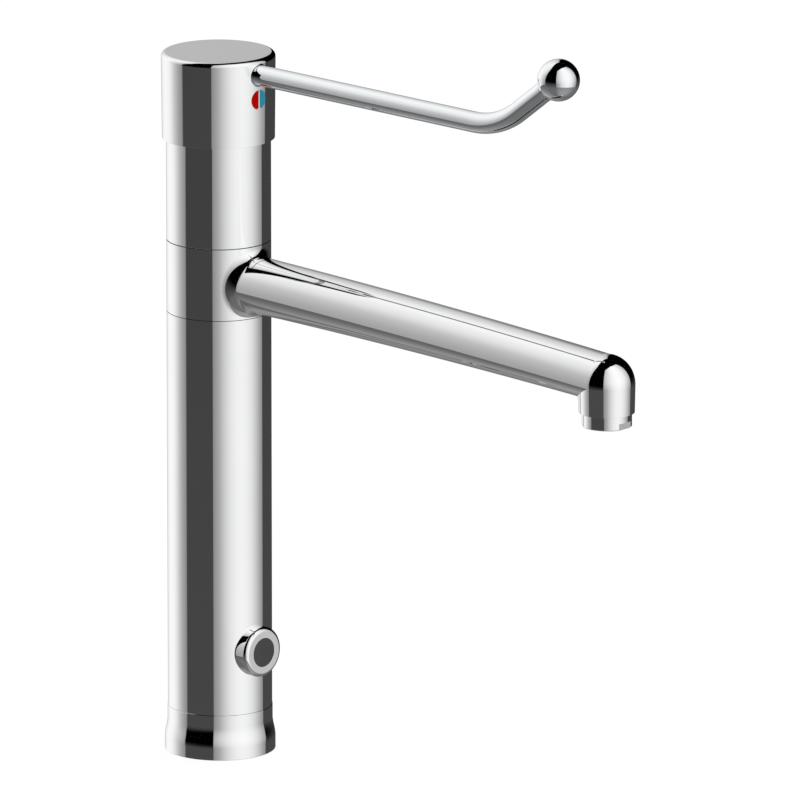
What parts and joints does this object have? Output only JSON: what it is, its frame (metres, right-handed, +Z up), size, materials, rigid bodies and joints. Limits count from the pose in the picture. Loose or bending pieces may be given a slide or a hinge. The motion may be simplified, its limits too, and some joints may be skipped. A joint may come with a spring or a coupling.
{
  "type": "sensor mixer tap",
  "caption": "Deck-mounted chrome sensor mixer tap: round column with infrared sensor in its foot, swivelling tapered spout and a turning cap with a long ball-ended lever.",
  "frame": {"origin": "centre of the foot's underside, on the deck plane and on the column axis", "axes": "+Z up the column; -Y to the front, along the spout, the lever and the sensor's view"},
  "size_m": [0.0544, 0.2942, 0.3733],
  "materials": {
    "chrome_plate": "polished chrome plate over cast and turned brass",
    "raw_brass": "turned brass, unplated",
    "copper": "drawn copper tube and copper winding",
    "stainless": "turned stainless steel",
    "black_rubber": "moulded black rubber",
    "black_plastic": "moulded black plastic, fine grain",
    "white_plastic": "moulded white acetal",
    "ceramic": "lapped white ceramic",
    "board_green": "green circuit board",
    "battery_wrap": "plain film round two cells",
    "dark_window": "smoked infrared window",
    "clear_diode": "clear epoxy lens",
    "dark_diode": "dark epoxy lens",
    "grey_cable": "grey insulated lead",
    "red_mark": "red moulded insert",
    "blue_mark": "blue moulded insert"
  },
  "bodies": {
    "body": {"base_flange": "chrome_plate", "base_seal": "black_rubber", "base_grub_screw": "stainless", "mounting_core": "raw_brass", "column_tube": "chrome_plate", "hot_pipe": "copper", "cold_pipe": "copper", "sensor_bezel": "chrome_plate", "sensor_window": "dark_window", "sensor_housing": "black_plastic", "sensor_board": "board_green", "infrared_emitter": "clear_diode", "infrared_receiver": "dark_diode", "sensor_seal": "black_rubber", "sensor_nut": "raw_brass", "sensor_cable": "grey_cable", "control_box": "black_plastic", "control_box_lid": "black_plastic", "control_board": "board_green", "battery_holder": "black_plastic", "battery_pack": "battery_wrap", "waterway_core": "raw_brass", "valve_diaphragm": "black_rubber", "valve_cover": "white_plastic", "valve_screws": "stainless", "solenoid_coil": "copper", "coil_yoke": "stainless", "valve_cable": "grey_cable", "plunger_spring": "stainless", "lower_bearing_ring": "white_plastic", "upper_bearing_ring": "white_plastic", "lower_swivel_seal": "black_rubber", "upper_swivel_seal": "black_rubber", "swivel_stop_pin": "stainless", "upper_body": "chrome_plate", "cartridge_base": "white_plastic", "cartridge_seals": "black_rubber", "fixed_disc": "ceramic", "cartridge_body": "white_plastic", "cartridge_nut": "raw_brass"},
    "spout": {"swivel_spout": "chrome_plate", "aerator_housing": "chrome_plate", "aerator_insert": "white_plastic", "aerator_seal": "black_rubber"},
    "handle": {"moving_disc": "ceramic", "cartridge_stem": "raw_brass", "handle_cap": "chrome_plate", "indicator_plug": "white_plastic", "hot_mark": "red_mark", "cold_mark": "blue_mark", "handle_grub_screw": "stainless", "lever_rod": "chrome_plate", "lever_ball": "chrome_plate"},
    "plunger": {"solenoid_plunger": "stainless"}
  },
  "joints": [
    {"name": "spout_swivel", "type": "hinge", "parent": "body", "child": "spout", "pos_m": [0, 0, 0.233], "axis": [0, 0, 1], "range_deg": [-60, 60]},
    {"name": "handle_turn", "type": "hinge", "parent": "body", "child": "handle", "pos_m": [0, 0, 0.3], "axis": [0, 0, 1], "range_deg": [-50, 50]},
    {"name": "valve_lift", "type": "slide", "parent": "body", "child": "plunger", "axis": [0, 0, -1], "range_m": [0, 0.0018], "stiffness_N_per_m": 400, "springref_m": -0.004, "deforming": ["plunger_spring"]}
  ]
}
